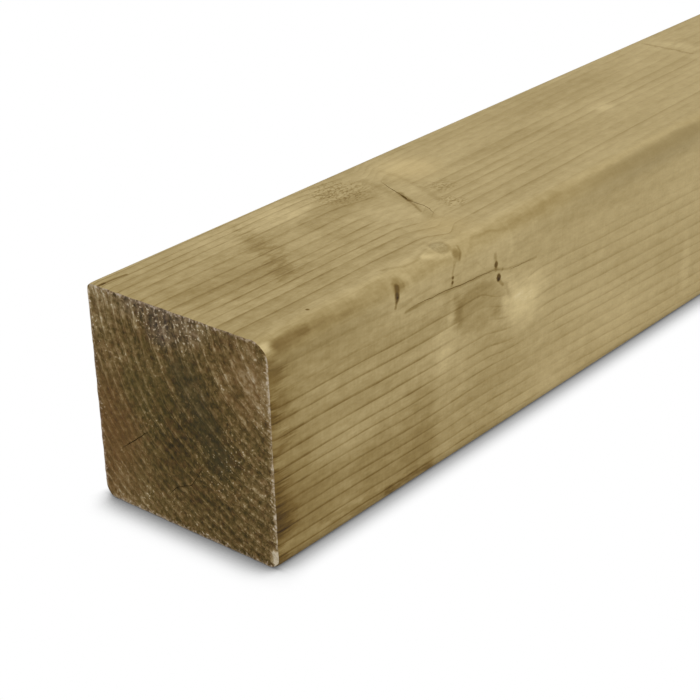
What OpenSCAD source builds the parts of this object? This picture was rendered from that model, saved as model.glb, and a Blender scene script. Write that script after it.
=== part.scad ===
// Planed square timber stud with eased long edges and square-sawn ends, lying on one face.
// Millimetres. The length runs along X, and the origin is the middle of the underside.

/* [Stock] */
// Width of the section, from the front face to the back face
stud_width = 45; // [25:0.5:100]
// Height of the section, from the underside to the top face
stud_height = 45; // [25:0.5:100]
// Length between the two sawn ends
stud_length = 2400; // [300:10:6000]

/* [Eased edges] */
// Radius of the top front edge, the one rubbed rounder than the rest
top_front_radius = 4; // [0.5:0.25:10]
// Radius of the top back edge, the crispest of the four
top_back_radius = 1.5; // [0.5:0.25:10]
// Radius of the bottom front edge
bottom_front_radius = 2.5; // [0.5:0.25:10]
// Radius of the bottom back edge
bottom_back_radius = 2.5; // [0.5:0.25:10]

/* [Hidden] */
$fn = 96;
treated_softwood = [0.62, 0.54, 0.36];
// How far a cut for an eased edge starts outside the timber
cut_overrun = 1;

// What the planer takes off one square corner at the origin: the corner less its quarter round
module corner_waste(radius) {
    difference() {
        translate([-cut_overrun, -cut_overrun]) square(radius + cut_overrun);
        translate([radius, radius]) circle(radius);
    }
}

// The planed section, with the front face on the left and the underside on the X axis
module planed_section() {
    difference() {
        translate([-stud_width / 2, 0]) square([stud_width, stud_height]);
        translate([-stud_width / 2, 0]) corner_waste(bottom_front_radius);
        translate([stud_width / 2, 0]) mirror([1, 0]) corner_waste(bottom_back_radius);
        translate([-stud_width / 2, stud_height]) mirror([0, 1]) corner_waste(top_front_radius);
        translate([stud_width / 2, stud_height]) rotate(180) corner_waste(top_back_radius);
    }
}

// One straight length of timber, from one square saw cut to the other
module stud() {
    color(treated_softwood)
        rotate([90, 0, 90])
            linear_extrude(stud_length, center = true) planed_section();
}

stud();
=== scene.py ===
# %% [markdown]
# # A treated softwood stud
# The stud is one length of softwood, sawn from beside the heart of a young tree, planed on four
# sides and soaked in preservative until it turned a dull olive brown. Nearly everything to see on
# it is the tree itself: growth rings cut lengthwise by the planed faces and across by the saw,
# and the branches that left the heart. So the wood is described once, as a solid, and each face
# shows whatever part of it the saw and the planer laid open.

from math import pi, radians

import bmesh
import bpy
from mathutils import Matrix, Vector


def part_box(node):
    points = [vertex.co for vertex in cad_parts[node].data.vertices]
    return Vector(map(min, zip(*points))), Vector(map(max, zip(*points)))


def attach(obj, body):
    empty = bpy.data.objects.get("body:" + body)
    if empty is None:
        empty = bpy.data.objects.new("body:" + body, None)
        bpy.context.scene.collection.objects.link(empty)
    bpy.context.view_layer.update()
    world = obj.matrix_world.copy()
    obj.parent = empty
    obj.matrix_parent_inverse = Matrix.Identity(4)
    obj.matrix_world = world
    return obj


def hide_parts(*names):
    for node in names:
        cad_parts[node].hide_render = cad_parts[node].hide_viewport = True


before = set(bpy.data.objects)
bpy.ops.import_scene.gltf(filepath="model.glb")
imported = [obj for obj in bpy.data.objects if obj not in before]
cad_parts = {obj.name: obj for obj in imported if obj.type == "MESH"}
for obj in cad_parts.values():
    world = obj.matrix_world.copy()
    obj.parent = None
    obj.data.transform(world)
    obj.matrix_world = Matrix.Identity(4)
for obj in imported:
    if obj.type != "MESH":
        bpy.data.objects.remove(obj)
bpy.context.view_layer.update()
low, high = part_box("stud")
LENGTH, WIDTH, HEIGHT = ((high - low) * 1000)[:]
print(f"stud: {LENGTH:.0f} mm long, {WIDTH:.1f} mm wide, {HEIGHT:.1f} mm high")

# %% [markdown]
# ## Writing wood as arithmetic
# A wood pattern is a long sum: a distance from the heart, a ring count, a few stains added on.
# Laid out node by node it can't be read, so a small class turns ordinary arithmetic into nodes.
# The same sums then work in a material, for colour, and in geometry nodes, for relief.


# %% A value that can be written as a sum
def lay(tree, kind, *values, out=None, **settings):
    """Adds a node, wires or sets its inputs in order, and returns one of its outputs."""
    node = tree.nodes.new(kind)
    for name, setting in settings.items():
        setattr(node, name, setting)
    for socket, value in zip([s for s in node.inputs if s.enabled], values):
        if isinstance(value, Wire):
            tree.links.new(value.socket, socket)
        elif value is not None:
            socket.default_value = value
    return Wire(node.outputs[out] if out else next(s for s in node.outputs if s.enabled))


def maths(operation, *values):
    """A Math node on numbers and wires, in the tree of the first wire."""
    tree = next(v.tree for v in values if isinstance(v, Wire))
    return lay(tree, "ShaderNodeMath", *values, operation=operation)


class Wire:
    """A value travelling through a node tree, which arithmetic can be done on."""

    def __init__(self, socket):
        self.socket, self.tree = socket, socket.id_data

    def __add__(self, other):
        return maths("ADD", self, other)

    def __sub__(self, other):
        return maths("SUBTRACT", self, other)

    def __rsub__(self, other):
        return maths("SUBTRACT", other, self)

    def __mul__(self, other):
        return maths("MULTIPLY", self, other)

    def __truediv__(self, other):
        return maths("DIVIDE", self, other)

    def __pow__(self, other):
        return maths("POWER", self, other)

    def __abs__(self):
        return maths("ABSOLUTE", self)

    __radd__, __rmul__ = __add__, __mul__


def vectors(operation, *values):
    """A Vector Math node on vectors and wires."""
    tree = next(v.tree for v in values if isinstance(v, Wire))
    return lay(tree, "ShaderNodeVectorMath", *values, operation=operation)


def size_of(vector):
    """The length of a vector."""
    return lay(vector.tree, "ShaderNodeVectorMath", vector, out="Value", operation="LENGTH")


def dot(vector, other):
    """The dot product of two vectors."""
    return lay(vector.tree, "ShaderNodeVectorMath", vector, other, out="Value", operation="DOT_PRODUCT")


def axes(vector):
    """The three numbers in a vector."""
    return [Wire(part) for part in lay(vector.tree, "ShaderNodeSeparateXYZ", vector).socket.node.outputs]


def rise(value, start, end):
    """0 at the start and 1 at the end, eased; a start above the end makes a fall."""
    return lay(value.tree, "ShaderNodeMapRange", value, start, end, 0.0, 1.0,
               interpolation_type="SMOOTHSTEP", clamp=False)


def noise(place, size, seed, detail=2.0):
    """Noise from about -1 to 1, in blotches of a size in mm along, across and up."""
    spread = vectors("MULTIPLY_ADD", place, [1 / d for d in size], [seed * 7.31] * 3)
    return lay(place.tree, "ShaderNodeTexNoise", spread, 1.0, detail, 0.55) * 4.0 - 2.0


def drift(place, size, seed, detail=2.0):
    """Noise of the same kind in all three directions, to move places by."""
    spread = vectors("MULTIPLY_ADD", place, [1 / d for d in size], [seed * 7.31] * 3)
    three = lay(place.tree, "ShaderNodeTexNoise", spread, 1.0, detail, 0.55, out="Color")
    return vectors("MULTIPLY_ADD", three, (4, 4, 4), (-2, -2, -2))


def moved_by(place, drifting, far):
    """A place moved by drift, at most about so many mm."""
    return vectors("MULTIPLY_ADD", drifting, (far, far, far), place)


# %% [markdown]
# ## The tree
# Places in the timber are measured in mm along from the near end, across from the back face, and
# up from the underside. The heart of the tree runs just outside the top front edge and wanders a
# little. Ring radii were measured behind the heart, on the top face, and below it, on the front
# face. They differ, because a tree grows more on one side than on the other, so each direction has
# its own list and the angle round the heart blends between them.

# %% Rings round a wandering heart
RINGS_BEHIND = [0, 4.5, 9, 13, 15.9, 18.1, 22.2, 25.4, 28.4, 31.1, 34.4, 37.8, 41.5, 44.8, 47.4, 49.6, 51.4]
RINGS_BELOW = [0, 7, 12, 15.9, 18.1, 19.9, 22.4, 25.3, 28.2, 31, 33.1, 35.2, 37.8, 40.3, 42.6, 45.2, 47.5]
OUTER_RING = 2.05
REACH = 90.0
MOST_RINGS = 40


def ring_count(distance, radii):
    """Reads how many rings lie between the heart and a distance from it."""
    counted = lay(distance.tree, "ShaderNodeFloatCurve", 1.0, distance / REACH)
    mapping = counted.socket.node.mapping
    last = len(radii) - 1 + (REACH - radii[-1]) / OUTER_RING
    mapping.curves[0].points[1].location = (1.0, last / MOST_RINGS)
    for count, radius in enumerate(radii[1:], 1):
        mapping.curves[0].points.new(radius / REACH, count / MOST_RINGS)
    for point in mapping.curves[0].points:
        point.handle_type = "VECTOR"
    mapping.update()
    return counted * MOST_RINGS


HEART_ACROSS, HEART_UP = 52.5, 47.8
WANDER_ACROSS, WANDER_UP = 2.6, 2.2
BEND_ACROSS, BEND_UP = 95.0, 75.0


def heart(along):
    """Where the heart runs past a section, in mm across and up."""
    heart_across = HEART_ACROSS + WANDER_ACROSS * maths("COSINE", along / BEND_ACROSS)
    heart_up = HEART_UP + WANDER_UP * maths("COSINE", along / BEND_UP)
    return heart_across, heart_up


# %% [markdown]
# ## The branches
# Branches leave the heart in whorls, one whorl for each year the tree grew upwards. Each branch is
# a cone about its own line: inside it the wood is the branch's own, and outside it the rings swell
# round it. A branch that runs nearly flat along a planed face shows as a long spike, and one that
# points out of it shows as a round knot. Past the first whorl the pattern comes again at a year's
# growth, each time moved by its own chance amounts, so that no two whorls look alike.

# %% Branches as cones
YEARS_GROWTH = 430.0
BELOW_WHORL = 120.0
CHANCE_SHIFT = (120.0, 16.0, 14.0)
BRANCHES = {
    # name: a point on its line, which way it grows, radius there, widening, how far it swells the rings;
    # a negative swell draws in the rings on the near side alone
    "top_spike": ((66.7, 21.8, 44.8), (8.0, -18.4, -0.5), 4.6, 0.12, -2.6),
    "side_spike": ((66.4, 45.6, 34.2), (6.4, -1.2, -9.3), 2.0, 0.12, 2.4),
    "edge_knot": ((35.0, 44.0, 41.6), (1.0, -9.0, -4.0), 1.7, 0.05, 0.7),
    "top_knot": ((51.0, 42.2, 45.0), (1.0, -3.0, -9.0), 2.0, 0.03, 0.8),
    "far_pin": ((137.7, 22.2, 45.0), (3.0, -8.0, -3.5), 2.0, 0.06, 0.3),
    "far_spike": ((185.2, 10.0, 45.0), (3.0, -14.0, -1.0), 2.8, 0.10, 0.3),
}


def yearly(place):
    """Folds the length onto the first whorl, with chance shifts in the later years."""
    year = maths("FLOOR", (axes(place)[0] + BELOW_WHORL) / YEARS_GROWTH)
    chance = lay(place.tree, "ShaderNodeTexWhiteNoise", year, out="Color", noise_dimensions="1D")
    shift = vectors("MULTIPLY_ADD", chance, CHANCE_SHIFT, [-most / 2 for most in CHANCE_SHIFT])
    later = maths("MINIMUM", year, 1.0)
    shift = vectors("MULTIPLY", shift, lay(place.tree, "ShaderNodeCombineXYZ", later, later, later))
    back = lay(place.tree, "ShaderNodeCombineXYZ", year * -YEARS_GROWTH, 0.0, 0.0)
    return vectors("ADD", vectors("ADD", place, back), shift)


def branch(folded, name):
    """How far out in a branch a point is, as a share of its radius, and how it swells the rings."""
    point, heading, radius, widening, swell = BRANCHES[name]
    heading = Vector(heading).normalized()[:]
    off = vectors("SUBTRACT", folded, point)
    reach = dot(off, heading)
    out = size_of(vectors("CROSS_PRODUCT", off, heading)) / maths("MAXIMUM", reach * widening + radius, 0.3)
    fading = rise(reach, 26.0, 4.0) if swell > 2 else 1.0
    if swell < 0:
        fading = rise(dot(off, Vector(heading).cross((0, 0, 1))[:]), -3.0, 2.0)
    return out, rise(out, 3.6, 0.0) * swell * fading


class Wood:
    """What the tree is like at a place in it."""

    def __init__(self, place):
        self.place = place
        self.along, self.across, self.up = axes(place)
        folded = yearly(place)
        self.branches = {name: branch(folded, name) for name in BRANCHES}
        swelling = sum(swell for _, swell in self.branches.values())
        heart_across, heart_up = heart(self.along)
        behind, below = heart_across - self.across, heart_up - self.up
        wander = noise(place, (80, 18, 18), 1) * 0.45 + noise(place, (11, 2.5, 2.5), 2) * 0.09
        straight = (behind * behind + below * below) ** 0.5
        self.turn = below / maths("MAXIMUM", behind, 0.5)
        wider = maths("MAXIMUM", rise(self.turn, 0.9, 1.7), rise(straight, 27.0, 22.0))
        wider = wider * rise(self.along, 65.0, 35.0)
        self.distance = straight - swelling + wander - 0.8 * wider
        one = ring_count(self.distance, RINGS_BEHIND)
        other = ring_count(self.distance, RINGS_BELOW)
        self.rings = one + (other - one) * rise(self.turn, 0.45, 1.9)
        self.ring = maths("FLOOR", self.rings)
        self.season = self.rings - self.ring
        self.chance = lay(place.tree, "ShaderNodeTexWhiteNoise", self.ring, noise_dimensions="1D")
        young = rise(self.ring, 2.9, 3.9) * 0.7 + 0.3
        self.summer = rise(self.season, 0.74, 0.95) * rise(self.season, 1.0, 0.94) * young
        self.late = rise(self.season, 0.3, 0.95) * young


print(f"{len(BRANCHES)} branches in a whorl, {len(RINGS_BEHIND) - 1} rings measured behind the heart")

# %% [markdown]
# ## Colour from tone
# Treated softwood keeps one hue and changes mainly in depth: every colour on the planed faces,
# from the pale branch wood to the dark end of a drying crack, lies on one line from deep brown to
# straw. So each material works out one number, its tone, on the usual 0 to 255 scale, and a single
# ramp turns tone into colour.


# %% From tone to colour
def linear(levels):
    """Screen levels from 0 to 255 as the light they stand for."""
    shares = [level / 255 for level in levels]
    return [s / 12.92 if s <= 0.04045 else ((s + 0.055) / 1.055) ** 2.4 for s in shares] + [1.0]


def ramp_of(value, stops):
    """Turns a value into a colour by stops, each a position and its screen levels."""
    ramp = lay(value.tree, "ShaderNodeValToRGB", value)
    elements = ramp.socket.node.color_ramp.elements
    while len(elements) < len(stops):
        elements.new(1.0)
    for element, (position, levels) in zip(elements, stops):
        element.position = position
        element.color = linear(levels)
    return ramp


def colour_of(tone, stops):
    """Turns a tone into a colour by stops of screen levels, each placed at its red level."""
    return ramp_of(tone / 255.0, [(levels[0] / 255, levels) for levels in stops])


def tinted(colour, levels, share):
    """Mixes a colour towards screen levels by a share."""
    return lay(colour.tree, "ShaderNodeMix", share, colour, linear(levels), data_type="RGBA")


PLANED_STOPS = [(24, 15, 6), (60, 42, 18), (97, 75, 33), (114, 91, 46), (141, 121, 75), (160, 141, 96),
                (178, 159, 114), (198, 179, 131), (215, 199, 157)]
SAWN_STOPS = [(22, 17, 8), (52, 42, 18), (78, 63, 30), (98, 79, 43), (122, 101, 63), (156, 137, 100),
              (205, 192, 165)]

# %% [markdown]
# ## Marks on the wood
# Stains, scuffs and pale patches are placed where they are seen. A spot is an oval patch, and a
# stroke follows a bent line. Both are looked up at places moved by noise, which makes their outline
# ragged, as a stain's is.

# %% Spots and strokes
ALL_ALONG = 1e6


def spot(place, middle, reach, even=0.1):
    """1 in an oval patch, easing to 0 at its reach; a share of the reach is even."""
    off = vectors("MULTIPLY_ADD", place, [1 / r for r in reach], [-m / r for m, r in zip(middle, reach)])
    return rise(size_of(off), 1.0, even)


def stroke(place, line, half, even=0.1):
    """1 along a bent line of points, easing to 0 at half its breadth."""
    nearest = None
    for start, end in zip(line, line[1:]):
        run = Vector(end) - Vector(start)
        off = vectors("SUBTRACT", place, start)
        share = maths("MAXIMUM", maths("MINIMUM", dot(off, (run / run.length_squared)[:]), 1.0), 0.0)
        along_run = lay(place.tree, "ShaderNodeCombineXYZ", share * run.x, share * run.y, share * run.z)
        out = size_of(vectors("SUBTRACT", off, along_run))
        nearest = out if nearest is None else maths("MINIMUM", nearest, out)
    return rise(nearest, half, half * even)


def on_top(*points):
    """Points on the top face from mm along and across."""
    return [(along, across, HEIGHT) for along, across in points]


def on_front(*points):
    """Points on the front face from mm along and up."""
    return [(along, WIDTH, up) for along, up in points]


RUBBED_EDGE = 4.0


def on_edge(*points):
    """Points on the rounded top front edge from mm along and up."""
    across, middle = WIDTH - RUBBED_EDGE, HEIGHT - RUBBED_EDGE
    return [(along, across + (RUBBED_EDGE**2 - (up - middle) ** 2) ** 0.5, up) for along, up in points]


def new_wood(name):
    """A node material, and the wood at the place it is seen."""
    material = bpy.data.materials.new(name)
    material.use_nodes = True
    at = lay(material.node_tree, "ShaderNodeTexCoord", out="Object")
    return material, Wood(vectors("MULTIPLY_ADD", at, (1000, -1000, 1000), (LENGTH / 2, WIDTH / 2, 0.0)))


def finish_wood(material, colour, relief, roughness):
    """Joins a colour, a fine relief in mm and a roughness to the material's surface."""
    tree = material.node_tree
    bump = lay(tree, "ShaderNodeBump", 1.0, 0.001, None, relief)
    surface = tree.nodes["Principled BSDF"]
    for name, wire in (("Base Color", colour), ("Roughness", roughness), ("Normal", bump)):
        tree.links.new(wire.socket, surface.inputs[name])
    surface.inputs["Specular IOR Level"].default_value = 0.1


# %% [markdown]
# ## The planed faces
# Over the rings lie the marks of the timber's life. More preservative soaked in near the saw cuts,
# where it drew along the fibres in dark strokes, and the faces also darken towards each end. The top
# front edge is rubbed and grimy, with painted shade along and below it. The front face is darker
# towards its foot, with spots of grime by the floor, and on its lower part a darker strip meets a
# paler band about 45 mm from the near end.
# Round the whorl the planer tore the turning grain and left specks, and the branch wood stayed
# pale. A mark could be a colour laid over the last one, but then each would hide the grain below
# it. Here each is a small change of tone, so the marks add up and the grain shows through them all.

# %% Planed wood: fibres and clouds
planed, wood = new_wood("planed_treated_wood")
place, along, across, up = wood.place, wood.along, wood.across, wood.up
front = rise(up, 44.8, 42.0) * rise(across, 40.0, 44.2)

fibre = noise(place, (11, 0.5, 0.5), 3, 3.0)
flecks = noise(place, (0.9, 0.5, 0.5), 4, 1.0)
knife_marks = noise(place, (0.5, 5, 5), 12, 1.0)
clouds = noise(place, (3.5, 1.5, 1.5), 13, 2.0)
blotch = noise(place, (30, 11, 11), 5, 3.0)
ragged = noise(place, (5, 1.3, 1.3), 6, 3.0)
drifting = drift(place, (5, 1.3, 1.3), 15, 3.0)

worn = rise(along, 115.0, 30.0)
texture = 4.2 * fibre + 3.2 * flecks + 2.2 * knife_marks + 9.0 * clouds
tone = 172.0 + (0.62 + 0.38 * worn) * texture + 8.0 * blotch
tone = tone + worn * (4.0 * blotch + 9.0 * wood.chance - 4.5)

# %% Planed wood: where the rings are faint
CALM_SPOTS = [
    # middle in mm, reach, share of the reach that is even, share of the rings that it hides
    ((59.0, 23.5, HEIGHT), (9, 10, 6), 0.4, 1.0),
    ((69.0, 20.0, HEIGHT), (6.5, 17, 6), 0.4, 1.0),
    ((63.5, 35.0, HEIGHT), (6.5, 7, 4), 0.3, 1.0),
    ((60.5, WIDTH, 29.0), (10, 4, 7), 0.5, 0.7),
    ((75.0, WIDTH, 27.0), (9, 4, 9), 0.3, 0.8),
]
calm_place = moved_by(place, drifting, 1.2)
flat_top = rise(up, 43.0, 44.5)
calm = 0.65 * flat_top * rise(along, 92.0, 112.0) * rise(across, 22.0, 25.0) * rise(across, 34.6, 33.2)
calm = maths("MAXIMUM", calm, 0.6 * flat_top * rise(across, 22.0, 12.0) * rise(along, 72.0, 85.0))
for middle, reach, even, hidden in CALM_SPOTS:
    calm = maths("MAXIMUM", calm, hidden * spot(calm_place, middle, reach, even))

# %% Planed wood: rings
STRONG_RING = 4.0
broken = 0.75 + 0.55 * noise(place, (16, 3, 3), 10) + 0.45 * noise(place, (3, 0.9, 0.9), 14)
broken = maths("MAXIMUM", broken, 0.1) * (1.0 - 0.85 * calm)
broken = broken * (1.0 - 0.35 * rise(along, 62.0, 74.0) * rise(up, 43.0, 44.9))
broken = broken + 0.45 * front * rise(along, 52.0, 34.0)
lines = wood.summer * (0.5 + 0.7 * wood.chance) * broken
lines = lines + 0.35 * wood.summer * rise(abs(wood.ring - STRONG_RING), 0.6, 0.1)
tone = tone - lines * (11.0 + 13.0 * worn)
tone = tone - wood.late * (10.0 - 5.0 * worn) * (1.0 - 0.4 * front) * (1.0 - calm)
tone = tone + (3.0 * rise(across, 26.0, 34.0) - 2.7) * rise(up, 43.0, 44.9)

# %% Planed wood: the soaked ends
from_end = maths("MINIMUM", along, LENGTH - along)
unseen = maths("MAXIMUM", rise(across, 2.4, 0.4) * rise(up, 44.9, 43.0), rise(up, 2.4, 0.4))
sides = maths("MAXIMUM", front, unseen)
drawn_in = 2.2 + 3.6 * noise(place, (80, 3.0, 3.0), 8, 4.0) + 2.4 * noise(place, (80, 0.45, 0.45), 9)
soaked = rise(from_end - drawn_in, 1.7, -1.4) * sides
tone = tone - soaked * (22.0 + 10.0 * noise(place, (80, 0.8, 0.8), 7))
# The faces darken towards each end over the last 80 mm
tone = tone - rise(from_end, 80.0, 0.0) * (7.0 + 7.0 * sides)
tone = tone - 15.0 * sides * rise(from_end, 20.0, 0.0)

# %% Planed wood: the rubbed edge and its painted shade, the foot and a step in tone
# Painted shade and grime along the whole rounded top front edge
tone = tone - (13.0 + 5.0 * blotch) * spot(place, (0, 44.3, 43.6), (ALL_ALONG, 2.6, 2.8), 0.2)
# Below the edge on the front face, more painted shade and grime, strongest past 80 mm along
edge_grime_and_shade = rise(along, 80.0, 120.0) * (17.0 + 6.0 * blotch) + 6.0 * rise(along, 50.0, 20.0)
upper = up + 0.4 * noise(place, (14, 3, 3), 16)
below_edge = rise(upper, 44.5, 43.7) * rise(up + 1.5 * ragged, 36.5, 43.0) * rise(across, 38.0, 42.0)
tone = tone - edge_grime_and_shade * below_edge
# The front face darkens towards its foot near the near end
tone = tone - 13.0 * front * rise(up, 26.0, 6.0) * rise(along, 95.0, 40.0)
# and along its lowest few mm
tone = tone - front * rise(up + 0.5 * ragged, 3.6, 0.6) * 15.0
# On the lower front a darker strip ends and a paler band starts, about 45 mm along
tone_step_line = along + 0.5 * ragged
low_front = front * rise(up, 34.0, 10.0)
tone = tone + 8.0 * low_front * rise(tone_step_line, 44.0, 48.0) * rise(along, 66.0, 52.0)
tone = tone - 6.0 * low_front * rise(tone_step_line, 46.5, 43.5) * rise(along, 28.0, 40.0)

# %% Planed wood: the whorl
FADING_FORWARD = ("top_spike", "far_pin", "far_spike")
later = rise(along, 300.0, 320.0)
for name, (out, _) in wood.branches.items():
    fading = rise(across, 35.0, 25.0) if name in FADING_FORWARD else 1.0
    within = rise(out + 0.12 * ragged, 1.5, 0.6) * fading
    tone = tone + within * (lines * 15.0 + 4.0)
    tone = tone - later * 20.0 * rise(out + 0.3 * ragged, 1.0, 0.1)

# %% Planed wood: spots
SPOTS = [
    # middle in mm, reach, share of the reach that is even, raggedness in mm, change of tone
    # The first spot is a painted sheen, a painted highlight beside the spike
    ((80.5, 11.5, HEIGHT), (9, 8, 6), 0.1, 1.6, 15),  # pale sheen beside the spike
    ((59.5, 24.5, HEIGHT), (8, 10, 5), 0.1, 1.4, 9),  # pale branch wood before the split
    ((75.0, WIDTH, 26.6), (9.0, 4, 8.4), 0.1, 1.2, 19),  # pale tongue of branch wood
    ((70.3, WIDTH, 39.6), (1.8, 4, 4.0), 0.1, 0.6, 8),
    ((51.0, WIDTH, 31.2), (1.7, 3, 4.4), 0.1, 0.3, 17),
    ((48.8, WIDTH, 25.0), (4.6, 3, 9.0), 0.1, 0.8, 8),
    ((138.8, WIDTH, 11.0), (3.0, 3, 9.0), 0.3, 0.6, 9),  # scuff
    ((137.7, 22.2, HEIGHT), (5.5, 3.6, 3), 0.0, 1.2, 19),  # pin of pale wood
    ((189.0, 12.0, HEIGHT), (3.5, 8.0, 3), 0.1, 1.5, 12),
    ((36.0, WIDTH, 21.0), (5.0, 3, 9.0), 0.1, 1.2, 5),
    ((46.0, 8.0, HEIGHT), (14, 8, 4), 0.1, 1.6, 16),
    ((0.6, 44.1, 43.7), (2.6, 2.0, 2.0), 0.2, 0.4, 52),  # bruised corner
    ((27.0, 8.5, HEIGHT), (12, 9, 5), 0.2, 1.5, 8),
    ((45.0, WIDTH, 25.0), (10, 4, 8), 0.2, 1.5, 6),
    ((118.0, WIDTH, 10.0), (18, 4, 13), 0.2, 2.0, 6),
    ((45.0, 22.5, HEIGHT), (9, 8, 5), 0.2, 1.5, -7),
    ((18.0, 36.0, HEIGHT), (22, 6, 4), 0.2, 1.5, -4),
    ((27.0, WIDTH, 10.0), (11, 4, 9), 0.2, 1.5, -12),
    ((63.0, WIDTH, 22.5), (11, 4, 6), 0.1, 1.5, -8),
    ((90.0, WIDTH, 10.0), (15, 4, 9), 0.2, 2.0, -7),
    ((22.0, WIDTH, 37.0), (24, 4, 7), 0.2, 1.5, -8),
    ((4.5, WIDTH, 37.0), (5, 4, 8), 0.2, 1.2, -6),
    ((78.0, WIDTH, 37.5), (34, 4, 8), 0.4, 1.5, -5),
    ((7.3, 20.0, HEIGHT), (7, 10, 4), 0.0, 2.0, -9),
    ((6.0, 8.0, HEIGHT), (12, 8, 4), 0.0, 2.0, -7),
    ((27.0, 22.5, HEIGHT), (50, 10, 5), 0.0, 2.0, -4),
    ((46.0, 16.5, HEIGHT), (6, 5, 4), 0.0, 1.5, -8),
    ((25.0, 26.5, HEIGHT), (4.2, 3.2, 4), 0.2, 0.8, -7),
    ((31.4, 14.5, HEIGHT), (3.2, 4.2, 4), 0.2, 0.8, -8),
    ((124.0, 8.0, HEIGHT), (30, 9, 5), 0.0, 2.0, -6),
    ((103.0, 17.8, HEIGHT), (26, 4.2, 4), 0.2, 1.5, -9),
    ((142.0, 9.5, HEIGHT), (26, 9, 5), 0.3, 2.0, -5),
    ((62.0, 40.0, HEIGHT), (10, 6, 5), 0.0, 1.6, -7),
    ((60.0, WIDTH, 30.0), (10.2, 4, 6.2), 0.6, 1.0, -19),  # brown patch
    ((53.5, WIDTH, 31.2), (1.9, 4, 4.0), 0.2, 0.6, -15),
    ((66.2, WIDTH, 26.8), (2.6, 4, 2.4), 0.2, 0.6, -17),
    ((52.5, WIDTH, 34.9), (1.8, 4, 1.3), 0.2, 0.4, -14),
    ((64.0, WIDTH, 14.0), (14, 4, 9.0), 0.0, 2.0, -7),
    ((40.0, WIDTH, 8.0), (9.0, 4, 8.0), 0.0, 2.0, -7),
    ((35.6, 44.4, 42.8), (2.1, 1.9, 1.9), 0.35, 0.2, -24),  # edge knot
    ((34.8, WIDTH, 41.0), (0.95, 1.4, 1.5), 0.4, 0.1, -52),
    ((53.6, 44.4, 43.0), (1.5, 1.4, 1.9), 0.35, 0.2, -22),  # bark ringed knot
    ((52.3, 44.9, 41.9), (0.9, 1.2, 0.9), 0.2, 0.15, -15),
    ((0.4, WIDTH, 32.2), (7.2, 4, 4.2), 0.35, 2.0, -22),  # soaked strokes
    ((0.4, WIDTH, 17.0), (6.2, 4, 4.6), 0.3, 2.0, -12),
    ((0.4, WIDTH, 10.2), (7.2, 4, 5.8), 0.3, 2.0, -24),
    ((0.4, WIDTH, 40.0), (6.0, 4, 3.8), 0.3, 0.8, -10),
    ((1.5, WIDTH, 26.5), (3.6, 4, 2.4), 0.2, 1.0, 15),
    ((65.5, WIDTH, 37.0), (0.8, 2.0, 1.0), 0.4, 0.15, -66),  # pin knots over and under the check
    ((66.3, WIDTH, 34.0), (0.9, 2.0, 1.1), 0.5, 0.15, -92),
    ((51.6, WIDTH, 39.1), (0.5, 1.0, 0.45), 0.3, 0.1, -55),
    ((51.4, WIDTH, 38.2), (0.5, 1.0, 0.5), 0.3, 0.1, -58),
    ((15.0, 40.9, HEIGHT), (0.55, 0.5, 1.0), 0.3, 0.1, -66),
]
for middle, reach, even, raggedness, change in SPOTS:
    tone = tone + change * spot(moved_by(place, drifting, raggedness), middle, reach, even)
print("planed wood:", len(SPOTS), "spots")

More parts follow.
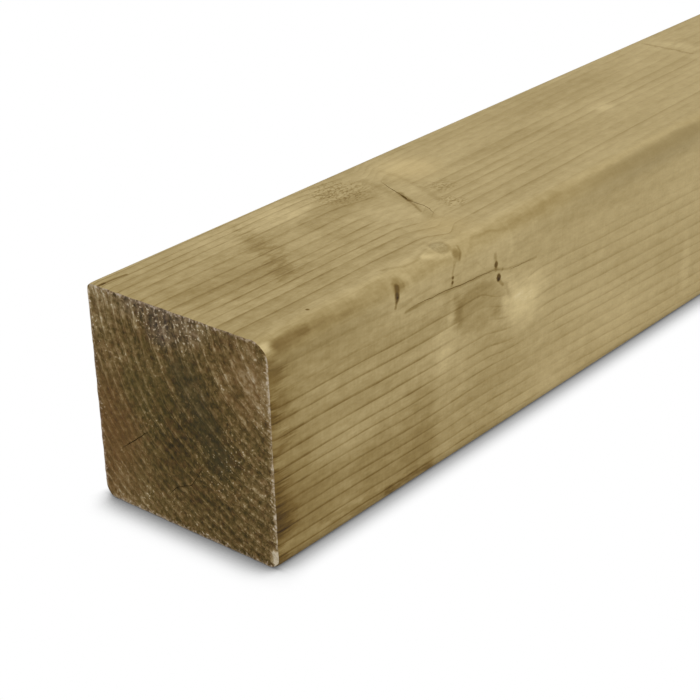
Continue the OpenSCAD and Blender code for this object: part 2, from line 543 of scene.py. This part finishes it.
# %% Planed wood: strokes
STROKES = [
    # line, half its breadth in mm, share of that which is even, raggedness in mm, change of tone
    (on_edge((37.6, 44.3), (39.1, 43.6), (39.3, 42.6)), 1.2, 0.1, 0.2, 12),  # halo of the edge knot
    (on_top((35.5, 6.0), (33.2, 10.2), (30.9, 17.1), (23.9, 27.6)), 3.4, 0.0, 3.4, -17),  # water stain
    (on_top((75.9, 7.6), (76.0, 11.5), (74.6, 17.2), (72.2, 23.7), (70.1, 27.8)),
     1.2, 0.0, 0.4, -11),  # along the spike knot
    (on_top((69.6, 8.0), (66.9, 20.0), (62.5, 32.5)), 2.0, 0.0, 0.8, -12),
    (on_top((66.6, 22.2), (64.8, 25.6), (63.1, 28.5)), 0.5, 0.0, 0.2, -26),
    (on_top((68.6, 18.4), (67.3, 20.8), (66.4, 23.0)), 0.9, 0.2, 0.2, -30),
    (on_top((-0.5, 3.2), (1.6, 3.3)), 0.5, 0.3, 0.1, -48),  # in and on from the corner check
    (on_top((1.0, 3.4), (3.1, 3.4), (6.8, 3.7)), 0.55, 0.1, 0.1, -48),
    # Painted shade and stain on the rounded edge near the end
    (on_edge((3.0, 43.6), (7.0, 43.8), (11.0, 43.8)), 1.8, 0.0, 0.6, -25),  # rubbed edge
    (on_edge((9.0, 43.8), (14.6, 43.6), (19.6, 43.2), (25.0, 42.7)), 1.2, 0.0, 0.6, -12),
    (on_edge((59.8, 44.1), (63.8, 44.1), (67.1, 43.5), (69.9, 43.0)), 0.5, 0.0, 0.3, -9),
    (on_edge((71.0, 43.3), (78.0, 43.5), (89.0, 43.9)), 1.6, 0.0, 0.5, -9),
    ([(36.0, 40.6, 45.0), (40.3, 42.3, 44.8), (42.4, 42.6, 44.7), (44.6, 42.2, 44.8), (46.5, 41.4, 45.0),
      (48.6, 41.0, 45.0)], 0.75, 0.0, 0.2, -15),  # ring bent round the grey knot
    (on_edge((45.8, 44.7), (48.5, 44.2), (50.4, 43.8), (52.0, 43.6)), 1.0, 0.1, 0.2, 16),  # its halo
    (on_edge((54.9, 44.1), (54.9, 43.5), (54.6, 42.8), (53.9, 42.1)), 0.5, 0.1, 0.2, -21),  # bark
    (on_front((52.0, 41.4), (51.5, 40.2), (51.2, 37.6)), 0.5, 0.2, 0.2, -16),
    (on_edge((34.6, 43.7), (35.6, 44.1), (36.9, 43.9), (37.4, 43.2), (37.0, 42.1)), 0.6, 0.0, 0.2, -9),
    (on_edge((35.3, 42.9), (34.9, 41.3)), 0.9, 0.3, 0.15, -44),  # edge knot
    (on_front((34.9, 41.0), (34.4, 39.2)), 0.5, 0.2, 0.1, -34),
    (on_front((37.4, 37.4), (45.6, 37.4), (54.6, 36.7), (65.1, 36.1), (67.6, 35.3)), 0.6, 0.0, 0.15, -22),
    (on_front((37.0, 37.2), (39.0, 37.5), (42.0, 37.6)), 0.4, 0.0, 0.1, -12),
    (on_front((67.6, 35.3), (70.1, 34.7), (73.5, 34.3), (79.0, 33.9)), 0.5, 0.0, 0.15, -19),
    (on_front((65.2, 39.2), (65.3, 36.0)), 0.8, 0.1, 0.15, -24),
    (on_front((68.6, 31.8), (70.2, 28.4)), 0.9, 0.0, 0.3, -13),
    (on_front((66.3, 33.6), (67.7, 32.0)), 0.6, 0.2, 0.1, -28),
    (on_front((12.0, 4.4), (20.0, 3.2), (32.0, 2.6)), 1.7, 0.1, 1.4, -16),  # grime by the floor
    (on_front((31.0, 2.4), (37.0, 2.4), (43.6, 2.4)), 1.9, 0.1, 1.2, -23),
    (on_top((185.4, 3.5), (185.2, 10.0), (184.9, 17.2)), 0.9, 0.0, 0.6, -22),  # far spike
]
for line, half, even, raggedness, change in STROKES:
    tone = tone + change * stroke(moved_by(place, drifting, raggedness), line, half, even)
print("planed wood:", len(STROKES), "strokes")

# %% Planed wood: the grey knot and torn grain
speckle = noise(place, (0.7, 0.5, 0.5), 11, 2.0)
round_knot = size_of(vectors("SUBTRACT", moved_by(place, drifting, 0.2), (51.2, 42.0, 44.7))) / 2.0
grey_knot = rise(round_knot, 1.1, 0.8)
rim = rise(abs(round_knot - 1.0), 0.35, 0.05) * rise(along - across, 7.5, 10.5)
tone = tone - grey_knot * (15.0 + 15.0 * speckle) - 10.0 * rim

near_place = moved_by(place, drifting, 0.5)
torn = spot(near_place, (71.2, 30.0, HEIGHT), (4.2, 4.6, 3))
torn = torn + 0.7 * spot(near_place, (77, 23, HEIGHT), (5, 5, 3))
torn = torn + 0.9 * spot(near_place, (61.5, 8.5, HEIGHT), (10, 9, 3), 0.2)
tone = tone - torn * (34.0 * rise(speckle, 0.0, 0.5) - 10.0 * rise(speckle, -0.2, -0.6) + 3.0)

# %% Planed wood: colour
HONEY = (196, 170, 114)
DULL_GREY = (150, 135, 98)
colour = colour_of(tone, PLANED_STOPS)
# Painted sheen beside the spike, tinted honey, and a warm patch near the top front edge
painted_sheen_and_warmth = spot(near_place, (80.5, 11.5, HEIGHT), (11, 10, 8)) * 0.5
painted_sheen_and_warmth = painted_sheen_and_warmth + spot(near_place, (60.0, 37.0, HEIGHT), (9, 8, 6)) * 0.35
colour = tinted(colour, HONEY, painted_sheen_and_warmth * 0.5)
# The painted shade and grime below the edge also grey the colour a little
grimy_and_shaded = edge_grime_and_shade * rise(upper, 44.8, 43.9) * rise(up, 37.0, 42.0) * rise(across, 38.0, 42.0)
colour = tinted(colour, DULL_GREY, 0.3 * grey_knot + 0.02 * grimy_and_shaded)
finish_wood(planed, colour, 0.02 * fibre + 0.014 * flecks, 0.66 + 0.05 * fibre)
print("planed wood:", len(planed.node_tree.nodes), "nodes")

# %% [markdown]
# ## The sawn ends
# A saw leaves end grain rough and open, so it soaks up far more preservative and dirt than a planed
# face and dries almost black-brown. The rings still show, as paler and darker stripes broken by
# the torn ends of fibres. Some fibres catch the light as pale crumbs, most of them along the top,
# and a pale frayed rim stands where the saw broke through. Even noise would look like stone, so
# the noise for the torn fibres is measured from the heart and drawn out round the rings.

# %% Sawn wood: end grain
sawn, wood = new_wood("sawn_end_wood")
place, along, across, up = wood.place, wood.along, wood.across, wood.up
sweep = lay(sawn.node_tree, "ShaderNodeCombineXYZ", wood.distance, wood.turn * 26.0, along)
ends = noise(sweep, (0.5, 2.4, 1.0), 20, 2.0)
pits = noise(place, (1.2, 0.95, 0.95), 21, 2.0)
crumbs = noise(place, (0.9, 0.62, 0.62), 22, 1.0)
drifting = drift(place, (9, 6, 6), 23, 3.0)
patches = axes(drifting)[0]
hues = noise(place, (2, 1.2, 1.2), 24, 2.0)
stripe = (wood.late - 0.4) * 44.0 - wood.summer * 50.0
blurred = moved_by(place, drifting, 3.5)


def end_spot(place, middle, reach, even=0.1):
    """A spot on both sawn ends, from mm across and up."""
    return spot(place, (0, *middle), (ALL_ALONG, *reach), even)


smoother = 1.0 - 0.25 * end_spot(blurred, (12, 11), (16, 14), 0.3)
grain = 22.0 * ends + 34.0 * pits + stripe * (0.9 + 0.7 * ends)
tone = 103.0 + grain * smoother + 13.0 * patches

# %% Sawn wood: paler and darker patches
END_SPOTS = [
    # middle in mm across and up, reach, change of tone
    ((24, 20), (17, 21), -20),
    ((4, 42), (14, 9), 27),
    ((41, 37), (8, 11), 42),
    ((8, 3), (14, 8), 10),
    ((26.5, 24.5), (4.5, 5), -9),
    ((22.5, 31), (4, 4), 7),
    ((28, 41.5), (7.5, 4.5), 24),
    ((16, 42), (7, 4), -8),
    ((38.8, 35.7), (4, 4.5), 15),
    ((42.5, 27), (4, 5), 13),
    ((5, 2.5), (6, 5), 20),
    ((15.5, 1.9), (5, 3), 6),
    ((3.5, 30.5), (6, 9), 15),
    ((3, 17), (5, 7), -9),
    ((13, 19), (6, 5), -11),
    ((41.5, 17.4), (4.5, 5.5), 15),
    ((36, 20), (4, 5), -9),
]
for middle, reach, change in END_SPOTS:
    tone = tone + change * end_spot(blurred, middle, reach)
tone = tone + 45.0 * end_spot(place, (1.8, 43.6), (2.2, 2.2))
print("sawn wood:", len(END_SPOTS) + 1, "patches")

# %% Sawn wood: crumbs and the frayed rim
weathered = end_spot(blurred, (18, 43.5), (22, 7))
crumbly = 0.35 + 0.8 * weathered + 0.8 * end_spot(blurred, (33, 17), (9, 10)) + 0.5 * patches
crumbly = maths("MAXIMUM", crumbly, 0.1)
tone = tone + 90.0 * rise(crumbs, 0.4, 0.85) * crumbly + 22.0 * weathered * (pits + crumbs)
edge = maths("MAXIMUM", abs(across - WIDTH / 2), abs(up - HEIGHT / 2))
frayed = rise(edge + 0.5 * crumbs + 0.3 * pits, 21.5, 22.5)
chip = end_spot(place, (44.4, 2.4), (2.2, 2.6), 0.3)
tone = tone + frayed * (30.0 + 30.0 * crumbs) + 34.0 * rise(across + 0.3 * crumbs, 43.6, 44.7) + 85.0 * chip

# %% Sawn wood: colour
REDDISH, GREENISH = (128, 80, 52), (86, 82, 38)
WEATHERED_GREY, DARK_OLIVE = (112, 98, 90), (58, 54, 32)
RUST, MOSS, PALE_FIBRE = (118, 82, 46), (82, 74, 34), (172, 154, 140)
colour = colour_of(tone, SAWN_STOPS)
colour = tinted(colour, REDDISH, 0.11 * rise(hues, 0.05, 0.6))
colour = tinted(colour, GREENISH, 0.11 * rise(hues, -0.05, -0.6))
colour = tinted(colour, WEATHERED_GREY, weathered * (0.3 + 0.2 * pits))
band = stroke(blurred, [(0, 23, 34), (0, 27, 24), (0, 31, 19)], 6.0)
colour = tinted(colour, DARK_OLIVE, band * 0.5)
rusty = end_spot(blurred, (3, 14), (10, 22)) + 0.7 * end_spot(blurred, (40, 36), (9, 11))
colour = tinted(colour, RUST, rusty * 0.4)
colour = tinted(colour, MOSS, end_spot(blurred, (14, 27), (9, 12)) * 0.3)
colour = tinted(colour, PALE_FIBRE, frayed * (0.3 + 0.3 * crumbs))
finish_wood(sawn, colour, 0.05 * ends + 0.07 * pits + 0.06 * crumbs, 0.8 + 0.08 * pits)
print("sawn wood:", len(sawn.node_tree.nodes), "nodes")

# %% [markdown]
# ## Inside a split
# A drying check opens along the grain into wood that light hardly reaches. Painted black it would
# look like a pen line, so its walls are plain, darker wood, and the shade in the cut does the rest.

# %% Split wood
split, wood = new_wood("split_wood")
tone = 112.0 + 12.0 * noise(wood.place, (8, 0.6, 0.6), 31) + 8.0 * wood.late
finish_wood(split, colour_of(tone, PLANED_STOPS), 0.03 * wood.late, 0.85 + 0.05 * wood.late)
print("split wood:", len(split.node_tree.nodes), "nodes")

# %% [markdown]
# ## The planed length
# The blank starts as a gridded block. Its cross lines are drawn closer together towards the near
# end, the corners of the section are eased to their radii, and the saw and planer leave their
# relief: the ends are pitted and their rims frayed, always into the wood. A modelled block could be
# displaced instead, but a tree can read the same description of the wood that gives its colour.


# %% Building with geometry nodes
def new_tree(name, *inputs):
    """A geometry tree with named inputs, given back with a wire for each of them."""
    tree = bpy.data.node_groups.new(name, "GeometryNodeTree")
    tree.interface.new_socket("Geometry", in_out="OUTPUT", socket_type="NodeSocketGeometry")
    for label, kind in inputs:
        tree.interface.new_socket(label, in_out="INPUT", socket_type="NodeSocket" + kind)
    given = tree.nodes.new("NodeGroupInput").outputs
    return tree, {label: Wire(given[label]) for label, _ in inputs}


def send_out(geometry, *coats):
    """Realizes what a tree made, gives it materials where they belong and makes it the result."""
    tree = geometry.tree
    solid = lay(tree, "GeometryNodeRealizeInstances", geometry)
    for where, material in coats:
        solid = lay(tree, "GeometryNodeSetMaterial", solid, where, material)
    tree.links.new(solid.socket, tree.nodes.new("NodeGroupOutput").inputs[0])


def make_piece(name, tree, maker, settings):
    """Runs a tree on an object and keeps the result as a plain mesh in place of it."""
    bpy.context.collection.objects.link(maker)
    modifier = maker.modifiers.new(tree.name, "NODES")
    modifier.node_group = tree
    for item in tree.interface.items_tree:
        if item.name in settings:
            modifier[item.identifier] = settings[item.name]
    mesh = bpy.data.meshes.new_from_object(maker.evaluated_get(bpy.context.evaluated_depsgraph_get()))
    bpy.data.objects.remove(maker)
    piece = bpy.data.objects.new(name, mesh)
    bpy.context.collection.objects.link(piece)
    return piece


# %% The planed blank
tree, given = new_tree(
    "planed_length", ("Length", "Float"), ("Width", "Float"), ("Height", "Float"),
    ("Edge", "Float"), ("Rubbed edge", "Float"), ("Crisp edge", "Float"), ("Near spacing", "Float"),
    ("Stations", "Int"), ("Across", "Int"), ("Planed", "Material"), ("Sawn", "Material"))
length, width, height = given["Length"], given["Width"], given["Height"]
block = lay(tree, "GeometryNodeMeshCube", (1, 1, 1), given["Stations"], given["Across"], given["Across"])
raw_along, raw_across, raw_up = axes(lay(tree, "GeometryNodeInputPosition"))
share = raw_along + 0.5
steady = given["Near spacing"] * given["Stations"] / length


def along_at(share):
    """How far along a cross line lies, from its share of the count of cross lines."""
    return length * (share * steady + (1.0 - steady) * share**5.0)


along = along_at(share)

is_top = maths("GREATER_THAN", raw_up, 0.0)
is_front = maths("LESS_THAN", raw_across, 0.0)
top_edge = given["Crisp edge"] + (given["Rubbed edge"] - given["Crisp edge"]) * is_front
radius = given["Edge"] + (top_edge - given["Edge"]) * is_top
parts, shares = [], []
for raw, size in ((raw_across, width), (raw_up, height)):
    drawn = size * (0.5 * raw + 0.25 * maths("SINE", raw * pi))
    flat = size * 0.5 - radius
    inner = maths("MAXIMUM", maths("MINIMUM", drawn, flat), flat * -1.0)
    parts += [inner, drawn - inner]
    shares.append(drawn / size + 0.5)
in_across, off_across, in_up, off_up = parts
off = (off_across * off_across + off_up * off_up) ** 0.5
fit = maths("MAXIMUM", abs(off_across), abs(off_up)) / off
across = in_across + off_across * fit
up = in_up + off_up * fit + height * 0.5

# %% [markdown]
# ## A flat layout of the skin
# Where the finish is kept as a picture, the skin has to lie flat in a square. A stud is fifty times
# longer than it is wide, so an even layout would leave its sawn ends a few dots wide. Here the four
# long sides are cut into three lengths each, and the near length and the near end, which hold the
# most to see, get far more room than the rest.

# %% Lay the skin out flat
SHEET, MARGIN = 1024.0, 4.0
NEAR_CUT, FAR_CUT = 0.54, 0.874
NEAR_STRIP, LONG_STRIP = (572.0, 116.0), (1016.0, 58.0)
NEAR_END, FAR_END = (592.0, 300.0), (900.0, 120.0)
LOWER, STEP = 520.0, 6.0


def keep(geometry, name, value, kind, domain):
    """Keeps a value with the geometry, under a name."""
    return lay(geometry.tree, "GeometryNodeStoreNamedAttribute", geometry, True, name, value,
               data_type=kind, domain=domain)


def lay_flat(geometry, right, up):
    """Keeps where each corner of each face lies in the layout, in dots to the right and up."""
    flat = lay(geometry.tree, "ShaderNodeCombineXYZ", right / SHEET, up / SHEET, 0.0)
    return keep(geometry, "OFBake", flat, "FLOAT2", "CORNER")


face_middle = axes(lay(tree, "GeometryNodeFieldOnDomain", lay(tree, "GeometryNodeInputPosition"),
                       data_type="FLOAT_VECTOR", domain="FACE"))
far_end, back_side, top_side = [maths("GREATER_THAN", part, 0.4999) for part in face_middle]
near_end, front_side, bottom_side = [maths("LESS_THAN", part, -0.4999) for part in face_middle]
row = front_side + 2.0 * back_side + 3.0 * bottom_side
is_near = maths("LESS_THAN", face_middle[0], NEAR_CUT - 0.5)
is_last = maths("GREATER_THAN", face_middle[0], FAR_CUT - 0.5)
start = along_at(NEAR_CUT) * (1.0 - is_near) + (along_at(FAR_CUT) - along_at(NEAR_CUT)) * is_last
stop = along_at(NEAR_CUT) + (along_at(FAR_CUT) - along_at(NEAR_CUT)) * (1.0 - is_near)
stop = stop + (length - along_at(FAR_CUT)) * is_last
lengthwise = (along - start) / (stop - start)
crosswise = shares[1] + (shares[0] - shares[1]) * (top_side + bottom_side)
strip_long = LONG_STRIP[0] + (NEAR_STRIP[0] - LONG_STRIP[0]) * is_near
strip_wide = LONG_STRIP[1] + (NEAR_STRIP[1] - LONG_STRIP[1]) * is_near
strip_low = MARGIN + (LOWER - MARGIN) * is_near + (row + 4.0 * is_last) * (strip_wide + STEP)
flat_x = MARGIN + lengthwise * strip_long
flat_y = strip_low + crosswise * strip_wide
for on_end, (end_low, end_size) in ((near_end, NEAR_END), (far_end, FAR_END)):
    flat_x = flat_x + (end_low + shares[0] * end_size - flat_x) * on_end
    flat_y = flat_y + (LOWER + shares[1] * end_size - flat_y) * on_end
block = lay_flat(block, flat_x, flat_y)

# %% Relief of the saw and the planer
place = lay(tree, "ShaderNodeCombineXYZ", along, width * 0.5 - across, up)
wood = Wood(place)
skin = maths("GREATER_THAN", maths("MAXIMUM", abs(raw_across), abs(raw_up)), 0.4999)
near = maths("LESS_THAN", share, 0.0001)
far = maths("GREATER_THAN", share, 0.9999)
frayed = rise(along, 1.2, 0.0) * (0.16 + 0.1 * noise(place, (2.5, 1.6, 1.6), 41))
waves = 0.02 + 0.015 * noise(place, (60, 14, 14), 42)
sunk = maths("MAXIMUM", frayed + waves, 0.004) * skin / off
pitted = 0.2 + (1.0 - 0.7 * skin) * (0.12 * noise(place, (2, 1.4, 1.4), 43, 3.0) - 0.12 * wood.late)
pitted = maths("MAXIMUM", pitted, 0.01) * (near - far)
moved = lay(tree, "ShaderNodeCombineXYZ", along + pitted - length * 0.5,
            across - off_across * sunk, up - off_up * sunk)
in_metres = vectors("MULTIPLY", moved, (0.001, 0.001, 0.001))
shaped = lay(tree, "GeometryNodeSetPosition", block, True, in_metres)
end_faces = maths("GREATER_THAN", abs(axes(lay(tree, "GeometryNodeInputNormal"))[0]), 0.6)
send_out(shaped, (True, given["Planed"]), (end_faces, given["Sawn"]))

# %% Saw and plane the blank
EASED_EDGE, CRISP_EDGE = 2.5, 1.5
blank = bpy.data.objects.new("blank", bpy.data.meshes.new("blank"))
stud = make_piece("planed_stud", tree, blank, {
    "Length": LENGTH, "Width": WIDTH, "Height": HEIGHT,
    "Edge": EASED_EDGE, "Rubbed edge": RUBBED_EDGE, "Crisp edge": CRISP_EDGE, "Near spacing": 0.7,
    "Stations": 320, "Across": 65, "Planed": planed, "Sawn": sawn})
print("blank:", len(stud.data.polygons), "faces")

# %% [markdown]
# ## Drying checks
# As treated wood dries it shrinks more round the rings than across them, and it opens: in thin
# lines along the grain, in the heart of the spike knot, and across the rings on the sawn end.
# Each check is a wedge swept along a line drawn on the face, widest in the middle and closing to
# nothing at both ends. It is cut out of the wood, because a line of bump has no depth to see into.

# %% Swept wedges
tree, given = new_tree(
    "drying_check", ("Geometry", "Geometry"), ("Out of the face", "Vector"),
    ("Gape", "Float"), ("Depth", "Float"), ("Wobble", "Float"), ("Steps", "Int"),
    ("Layout row", "Int"), ("Material", "Material"))
line = lay(tree, "GeometryNodeResampleCurve", given["Geometry"], True, given["Steps"])
at = vectors("MULTIPLY", lay(tree, "GeometryNodeInputPosition"), (1000, 1000, 1000))
jitter = lay(tree, "ShaderNodeTexNoise", at, 0.7, 2.0, out="Color")
jitter = vectors("SUBTRACT", jitter, (0.5, 0.5, 0.5))
jitter = vectors("SUBTRACT", jitter, vectors("PROJECT", jitter, given["Out of the face"]))
amount = lay(tree, "ShaderNodeCombineXYZ", given["Wobble"], given["Wobble"], given["Wobble"])
line = lay(tree, "GeometryNodeSetPosition", line, True, None, vectors("MULTIPLY", jitter, amount))
line = lay(tree, "GeometryNodeSetCurveNormal", line, True, given["Out of the face"], mode="FREE")
wedge = lay(tree, "GeometryNodeCurvePrimitiveQuadrilateral",
            given["Gape"], given["Depth"], given["Gape"] * 3.0, mode="KITE")
wedge = lay(tree, "GeometryNodeTransform", wedge, None, (0, 0, radians(-90)))
reached = lay(tree, "GeometryNodeSplineParameter")
taper = maths("SINE", reached * 3.0 + 0.07) ** 0.6
line = keep(line, "run", reached, "FLOAT", "POINT")
wedge = keep(wedge, "turn", reached, "FLOAT", "POINT")
swept = lay(tree, "GeometryNodeCurveToMesh", line, wedge, taper, True)

# %% Lay the walls of a check out flat
run = lay(tree, "GeometryNodeInputNamedAttribute", "run", data_type="FLOAT")
turn = lay(tree, "GeometryNodeInputNamedAttribute", "turn", data_type="FLOAT")
mean = lay(tree, "GeometryNodeFieldOnDomain", turn, data_type="FLOAT", domain="FACE")
turn = turn + maths("GREATER_THAN", mean - turn, 0.3)
CHECKS_LOW, CHECK_STRIP = (592.0, 832.0), (424.0, 20.0)
flat_x = CHECKS_LOW[0] + run * CHECK_STRIP[0]
flat_y = CHECKS_LOW[1] + given["Layout row"] * (CHECK_STRIP[1] + STEP) + turn * CHECK_STRIP[1]
swept = lay_flat(swept, flat_x, flat_y)
for helper in ("run", "turn"):
    swept = lay(tree, "GeometryNodeRemoveAttribute", swept, helper)
send_out(swept, (True, given["Material"]))

# %% Cut the checks
TOP, FRONT, END = (0, 0, 1), (0, -1, 0), (-1, 0, 0)
WOBBLE, STEP_LENGTH, FEWEST_STEPS = 0.5, 0.6, 8
CHECKS = {
    # name: the face, gape and depth in mm, and the line it follows
    "spike_split": (TOP, 0.24, 0.2, on_top((71.4, 11.3), (70, 14.4), (67.8, 19.8), (66.7, 21.8),
                                           (66.3, 24.4), (65.8, 27.7), (63.9, 31.3))),
    "spike_core": (TOP, 0.55, 0.6, on_top((68.0, 19.4), (67.3, 20.8), (66.7, 22.2))),
    "face_check": (FRONT, 0.2, 0.13, on_front((37.4, 37.4), (41.5, 37.7), (45.6, 37.4), (49.9, 37.2),
                                              (54.6, 36.7), (59.8, 36.5), (65.1, 36.1), (67.6, 35.3))),
    "face_check_end": (FRONT, 0.15, 0.08, on_front((69.2, 34.4), (73.5, 34.3), (78.2, 34.0))),
    "corner_check": (TOP, 0.36, 0.4, on_top((-0.8, 3.2), (0.6, 3.3), (2.0, 3.4))),
    "end_check_left": (END, 0.17, 3.0, [(0, 5.5, 11.9), (0, 9.7, 15.2), (0, 13.8, 18.4)]),
    "end_check_low": (END, 0.17, 3.0, [(0, 17.1, 5.6), (0, 19.7, 8.4), (0, 23.8, 10.3), (0, 27.8, 16.2)]),
}
for count, (name, (face, gape, depth, line)) in enumerate(CHECKS.items()):
    curve = bpy.data.curves.new(name, "CURVE")
    curve.dimensions = "3D"
    path = curve.splines.new("POLY")
    path.points.add(len(line) - 1)
    for point, (along, across, up) in zip(path.points, line):
        point.co = ((along - LENGTH / 2) / 1000, (WIDTH / 2 - across) / 1000, up / 1000, 1)
    run = sum((Vector(b) - Vector(a)).length for a, b in zip(line, line[1:]))
    cutter = make_piece(name, tree, bpy.data.objects.new(name, curve), {
        "Out of the face": face, "Gape": gape / 1000, "Depth": depth / 1000, "Wobble": WOBBLE / 1000,
        "Steps": max(FEWEST_STEPS, round(run / STEP_LENGTH)), "Layout row": count, "Material": split})
    cut = stud.modifiers.new(name, "BOOLEAN")
    cut.object = cutter
    cut.operation = "DIFFERENCE"
    cut.solver = "MANIFOLD"
    cut.material_mode = "TRANSFER"
    whole = stud.data
    stud.data = bpy.data.meshes.new_from_object(stud.evaluated_get(bpy.context.evaluated_depsgraph_get()))
    stud.modifiers.clear()
    print(name, "cut:", len(stud.data.polygons) - len(whole.polygons), "faces more")
    bpy.data.objects.remove(cutter)

# %% [markdown]
# ## Clean faces
# A cut leaves faces with many corners beside it. Each program parts such a face into triangles in
# its own way, and two neighbours parted badly can fold over each other, so they are parted here,
# once. The faces are then shaded smooth, apart from the edges of saw cuts and checks.

# %% Part the many-sided faces
by_the_cuts = bmesh.new()
by_the_cuts.from_mesh(stud.data)
many_sided = [face for face in by_the_cuts.faces if len(face.verts) > 4]
bmesh.ops.triangulate(by_the_cuts, faces=many_sided)
by_the_cuts.to_mesh(stud.data)
by_the_cuts.free()
print(len(many_sided), "many-sided faces beside the checks parted into triangles")

# %% Finish the stud
stud.data.name = "planed_stud"
stud.data.shade_smooth()
stud.data.set_sharp_from_angle(angle=radians(35))
# The cuts leave an empty place in the list of materials
for slot in reversed(range(len(stud.data.materials))):
    if stud.data.materials[slot] is None:
        stud.data.materials.pop(index=slot)
print("materials:", [material.name for material in stud.data.materials])
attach(stud, "root")
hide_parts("stud")

# %% [markdown]
# ## Floor, light and camera
# The stud lies on a plain white floor under soft, nearly even light. A floor lit up to paper white
# would lose the stud's shadow. So the light on the wood stays low, the camera sees the floor as
# white, and close to the timber the floor darkens by how little of the sky it sees there.

# %% Floor
FLOOR_SIZE = 60.0
OPEN_FLOOR = (0.8, 0.8, 0.8, 1)


def seen(tree):
    """1 for what the camera sees, also in a mirror or through glass, and 0 for light on its way."""
    kinds = ("Is Camera Ray", "Is Glossy Ray", "Is Transmission Ray")
    camera, glossy, through = [lay(tree, "ShaderNodeLightPath", out=kind) for kind in kinds]
    return maths("MAXIMUM", maths("MAXIMUM", camera, glossy), through)


bpy.ops.mesh.primitive_plane_add(size=FLOOR_SIZE)
floor = bpy.context.object
floor.name = "floor"
paper = bpy.data.materials.new("white_floor")
paper.use_nodes = True
tree = paper.node_tree
floor_x, floor_y, _ = axes(lay(tree, "ShaderNodeTexCoord", out="Object"))
from_near_end = floor_x * 1000 + LENGTH / 2
from_back = floor_y * 1000 - WIDTH / 2
reach = 0.0054 + 0.0031 * rise(from_near_end, 4.0, -4.0) - 0.004 * rise(from_back, -3.0, 4.0)
shade = lay(tree, "ShaderNodeAmbientOcclusion", None, reach, out="AO")

# %% Shadow on the floor
SHADES = {
    # how open the floor is to the sky, and the screen level it shows at
    "front": ((0.15, 85), (0.29, 150), (0.53, 184), (0.71, 225), (0.83, 243), (0.95, 255)),
    "end": ((0.3, 95), (0.52, 130), (0.65, 177), (0.76, 219), (0.84, 242), (0.95, 255)),
}
greys = []
for stops in SHADES.values():
    greys.append(ramp_of(shade, [(openness, [level] * 3) for openness, level in stops]))
by_the_end = rise(from_near_end, 1.5, 0.0)
grey = lay(tree, "ShaderNodeMix", by_the_end, *greys, data_type="RGBA")
lit = lay(tree, "ShaderNodeBsdfDiffuse", OPEN_FLOOR)
both = lay(tree, "ShaderNodeMixShader", seen(tree), lit, lay(tree, "ShaderNodeEmission", grey))
tree.links.new(both.socket, tree.nodes["Material Output"].inputs["Surface"])
floor.data.materials.append(paper)

# %% Light
DAYLIGHT = 0.62
world = bpy.data.worlds.new("soft_room")
bpy.context.scene.world = world
world.use_nodes = True
tree = world.node_tree
background = tree.nodes["Background"]
background.inputs["Color"].default_value = (1, 1, 1, 1)
strength = DAYLIGHT + (1.0 - DAYLIGHT) * seen(tree)
tree.links.new(strength.socket, background.inputs["Strength"])

softbox = bpy.data.lights.new("softbox", "SUN")
softbox.energy = 1.6
softbox.angle = radians(70)
softbox_object = bpy.data.objects.new("softbox", softbox)
softbox_object.rotation_euler = Vector((0.2, 0.5, -0.84)).to_track_quat("-Z", "Y").to_euler()
bpy.context.collection.objects.link(softbox_object)

# %% Camera
camera = bpy.data.cameras.new("camera")
camera.lens = 93.24
camera.sensor_width = 36.0
camera.clip_start = 0.01
eye = Vector((-1.398, -0.2128, 0.177))
aim = Vector((-1.158, -0.0045, 0.0225))
camera_object = bpy.data.objects.new("camera", camera)
camera_object.location = eye
camera_object.rotation_euler = (aim - eye).to_track_quat("-Z", "Y").to_euler()
camera_object.rotation_euler.rotate_axis("Z", radians(-1.9))
bpy.context.collection.objects.link(camera_object)
bpy.context.scene.camera = camera_object
bpy.context.scene.view_settings.view_transform = "Standard"
print(f"camera: {(aim - eye).length * 1000:.0f} mm from what it aims at")
